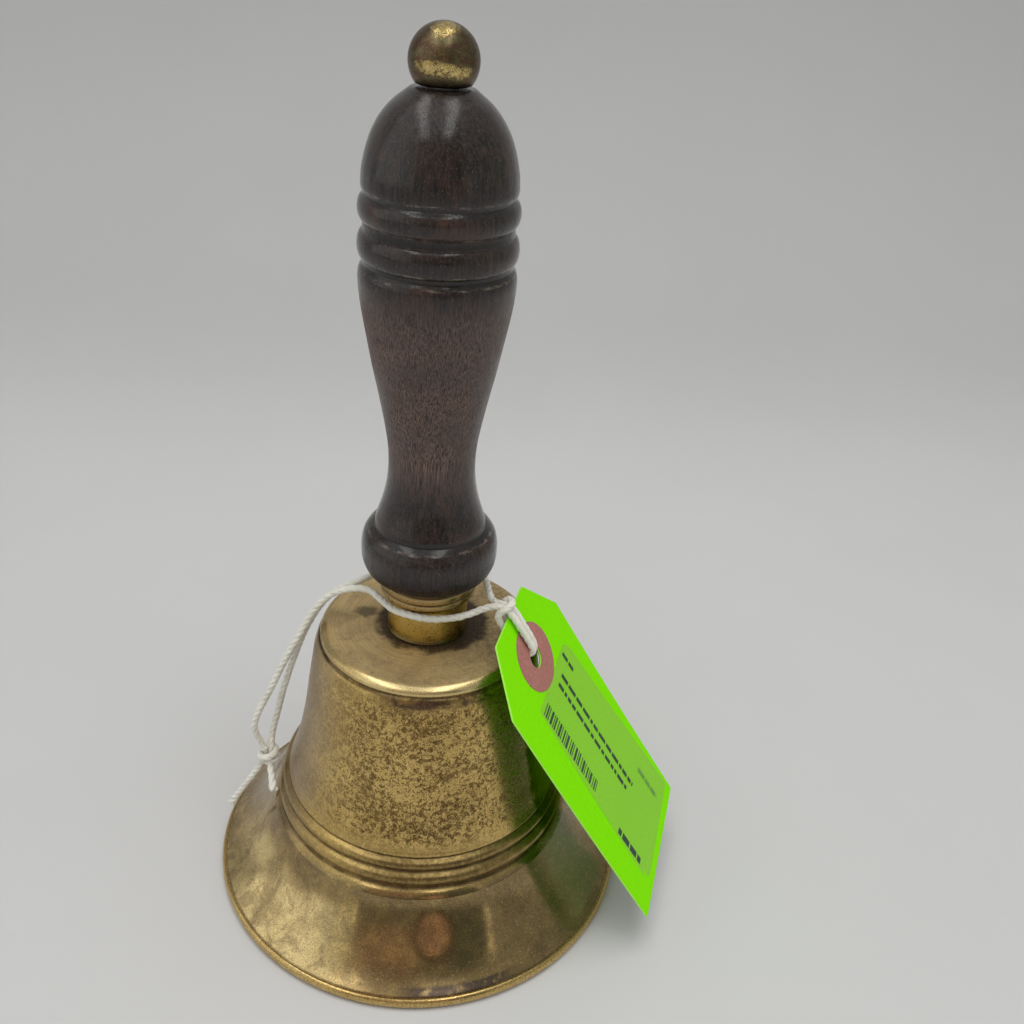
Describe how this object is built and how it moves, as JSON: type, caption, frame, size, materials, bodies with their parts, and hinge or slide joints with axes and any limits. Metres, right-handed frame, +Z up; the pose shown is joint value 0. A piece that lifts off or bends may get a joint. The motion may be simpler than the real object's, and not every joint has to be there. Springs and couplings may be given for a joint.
{
  "type": "brass hand bell",
  "caption": "Flared brass hand bell with a turned wooden handle, ball finial, swivelling clapper and a clipped-corner hang tag tied round its neck.",
  "frame": {"origin": "centre of the whole object's footprint (hang tag included) on the plane the rim stands on; the bell's turning axis is vertical through x = -6.88 mm, y = 0", "axes": "+Z up along the handle; +X towards the side the hang tag hangs on; -Y is the front"},
  "size_m": [0.1056, 0.0918, 0.178],
  "materials": {
    "bell_brass": "aged, brown speckled tarnish over satin brass",
    "collar_brass": "warm yellow-gold with dark specks",
    "finial_brass": "dark brown tarnish with bright worn patches",
    "stained_wood": "very dark brown stain, semi-gloss, fine lengthwise grain",
    "zinc_steel": "dull zinc plate",
    "clapper_iron": "dull dark iron",
    "cotton_string": "soft twisted white cotton",
    "tag_card": "matt fluorescent green card",
    "tag_patch": "matt mauve reinforcing paper",
    "tag_label": "matt translucent film"
  },
  "bodies": {
    "bell": {"bell_shell": "bell_brass", "crown_collar": "collar_brass", "handle_ferrule": "collar_brass", "handle_grip": "stained_wood", "finial_ball": "finial_brass", "tie_rod": "zinc_steel", "crown_washer": "zinc_steel", "spring_washer": "zinc_steel", "clamp_nut": "zinc_steel", "yoke_nut": "zinc_steel"},
    "hanger": {"clapper_yoke": "zinc_steel", "yoke_pin": "zinc_steel"},
    "clapper": {"clapper_stem": "clapper_iron", "clapper_ball": "clapper_iron"},
    "string_loop": {"tag_string": "cotton_string"},
    "tag": {"tag_card": "tag_card", "tag_patch_front": "tag_patch", "tag_patch_back": "tag_patch", "tag_label": "tag_label", "tag_hitch": "cotton_string"}
  },
  "joints": [
    {"name": "hanger_swivel", "type": "hinge", "parent": "bell", "child": "hanger", "pos_m": [-0.00688, 0, 0.0522], "axis": [0, 0, 1], "continuous": true},
    {"name": "clapper_swing", "type": "hinge", "parent": "hanger", "child": "clapper", "pos_m": [-0.00688, 0, 0.0438], "axis": [1, 0, 0], "range_deg": [-40, 40]},
    {"name": "string_turn", "type": "hinge", "parent": "bell", "child": "string_loop", "pos_m": [-0.00688, 0, 0.0712], "axis": [0, 0, 1], "continuous": true},
    {"name": "tag_swing", "type": "hinge", "parent": "string_loop", "child": "tag", "pos_m": [0.00787, -0.00873, 0.07408], "axis": [-0.302, -0.947, -0.109], "range_deg": [0, 100]}
  ]
}
